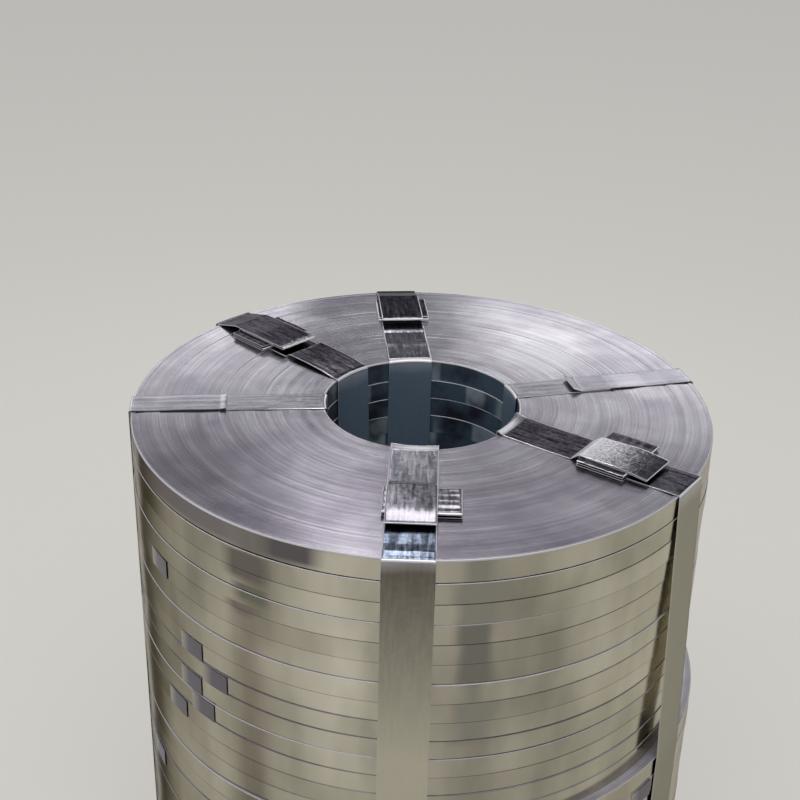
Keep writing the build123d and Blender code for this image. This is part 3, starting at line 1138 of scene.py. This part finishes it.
def lockWave(ridgeHeight):
    # The ridges and dents of one lock
    def wave(along, across, place, seed):
        ridge = math.sin(place.x * 2 * math.pi / lockPiece["ridgeMm"] + seed) * ridgeHeight
        scale = lockPiece["dentScale"]
        dent = noise.noise(Vector((place.x * scale, across * scale, seed))) * lockPiece["dentMm"]
        top = clamp((place.z - lockPiece["risesFrom"]) / lockPiece["risesOver"])
        return (ridge * lockPiece["ridgeShare"] + dent) * top

    return wave


for order, (name, (near, far, low, high, ridgeHeight)) in enumerate(locks.items()):
    lower, middle, upper = lockPiece["levels"]
    bend = lockPiece["bend"]
    fold = [(far, lower, 0), (near, lower, bend), (near, middle, bend)]
    fold += [(far, middle, bend), (far, upper, bend), (near, upper, 0)]
    steps = (lockPiece["columns"], lockPiece["step"], lockPiece["step"])
    folded = bentStrip("strap_lock_" + name + "_fold", fold, low, high, *steps)
    strap = straps[name]
    seed = order * lockPiece["seedStep"]
    finishStrip(folded, lockPiece["thickness"], low, high, lockWave(ridgeHeight), seed, strap["azimuth"])
    paint(folded, strap["tones"], 0.0, noPaintedGlint)
    handOver(folded, "strap_lock_" + name)
print("locks folded:", len(locks))

# Camera, at the photograph's place: just above head height, looking down on the stack

view = {
    "location": (-0.0047, -1.936, stackTop + 0.983),
    "turn": (63.13, -1.29, 1.65),
    "lens": 63.58,
    "sensor": 36.0,
    "farthest": 100,
}

cameraData = bpy.data.cameras.new("photoCamera")
camera = bpy.data.objects.new("photoCamera", cameraData)
bpy.context.scene.collection.objects.link(camera)
camera.location = view["location"]
camera.rotation_euler = [math.radians(angle) for angle in view["turn"]]
cameraData.lens = view["lens"]
cameraData.sensor_width = view["sensor"]
cameraData.clip_end = view["farthest"]
bpy.context.scene.camera = camera

# Floor and lights

studio = {
    "floor": "#d9d6d0",
    "floorSize": 60.0,
    "floorLift": 0.6,
    "floorRoughness": 0.8,
    "world": "#c9ccd2",
    "worldStrength": 0.42,
    "backdrop": "#c4c3bf",
}

plainSelection()
bpy.ops.mesh.primitive_plane_add(size=studio["floorSize"], location=(0, 0, 0))
floor = bpy.context.object
floor.name = "floor"
floorMaterial, floorShader = newMaterial("paleFloor")
floorInputs = {"Base Color": colour(studio["floor"]), "Roughness": studio["floorRoughness"]}
setInputs(floorMaterial, floorShader, floorInputs)
# the camera sees the floor lifted towards an even pale tone; the metal mirrors it as it is lit
glow = addNode(floorMaterial, "ShaderNodeEmission", {"Color": colour(studio["floor"]), "Strength": 1.0})
cameraRay = addNode(floorMaterial, "ShaderNodeLightPath").outputs["Is Camera Ray"]
share = product(floorMaterial, cameraRay, studio["floorLift"])
shaders = {0: share, 1: floorShader.outputs[0], 2: glow.outputs[0]}
lifted = addNode(floorMaterial, "ShaderNodeMixShader", shaders)
feed(floorMaterial, lifted.outputs[0], floorMaterial.node_tree.nodes["Material Output"].inputs["Surface"])
floor.data.materials.append(floorMaterial)

world = bpy.data.worlds.new("studio")
bpy.context.scene.world = world
world.use_nodes = True
sky = world.node_tree.nodes["Background"]
setInputs(world, sky, {"Color": colour(studio["world"]), "Strength": studio["worldStrength"]})
# the camera sees a pale backdrop, which lights nothing
backdrop = addNode(world, "ShaderNodeBackground", {"Color": colour(studio["backdrop"]), "Strength": 1.0})
seen = addNode(world, "ShaderNodeLightPath").outputs["Is Camera Ray"]
either = addNode(world, "ShaderNodeMixShader", {0: seen, 1: sky.outputs[0], 2: backdrop.outputs[0]})
feed(world, either.outputs[0], world.node_tree.nodes["World Output"].inputs["Surface"])

# Lights: place, what they point at, width and height in metres, and watts
topFace = (0, 0, 0.86)
upperCoils = (0, 0, 0.8)
lamps = {
    "skyBehindRight": ((0.78, 2.2, 1.72), topFace, (1.35, 0.36), 3.6),
    "skyBehindLeft": ((-1.0, 2.2, 1.75), topFace, (1.2, 0.36), 3.4),
    "skyFanLeft": ((-0.27, 2.07, 2.52), topFace, (0.3, 0.35), 2.0),
    "skyFanRight": ((0.6, 2.07, 2.5), topFace, (0.6, 0.3), 0.6),
    "skyHigh": ((-0.1, 3.6, 4.75), upperCoils, (1.0, 0.8), 20),
    "skyOverhead": ((0.1, -1.6, 5.0), upperCoils, (4.4, 4.4), 132),
    "windowLeft": ((-4.5, -1.0, 2.2), upperCoils, (1.6, 1.6), 30),
}


def softLight(name, place, target, size, power):
    data = bpy.data.lights.new(name, "AREA")
    data.shape = "RECTANGLE"
    data.size, data.size_y = size
    data.energy = power
    lamp = bpy.data.objects.new(name, data)
    bpy.context.scene.collection.objects.link(lamp)
    lamp.location = place
    aim = Vector(target) - Vector(place)
    lamp.rotation_euler = aim.to_track_quat("-Z", "Y").to_euler()


for name, values in lamps.items():
    softLight(name, *values)
print("studio set")

bpy.context.scene.view_settings.view_transform = "Standard"

bpy.context.view_layer.update()
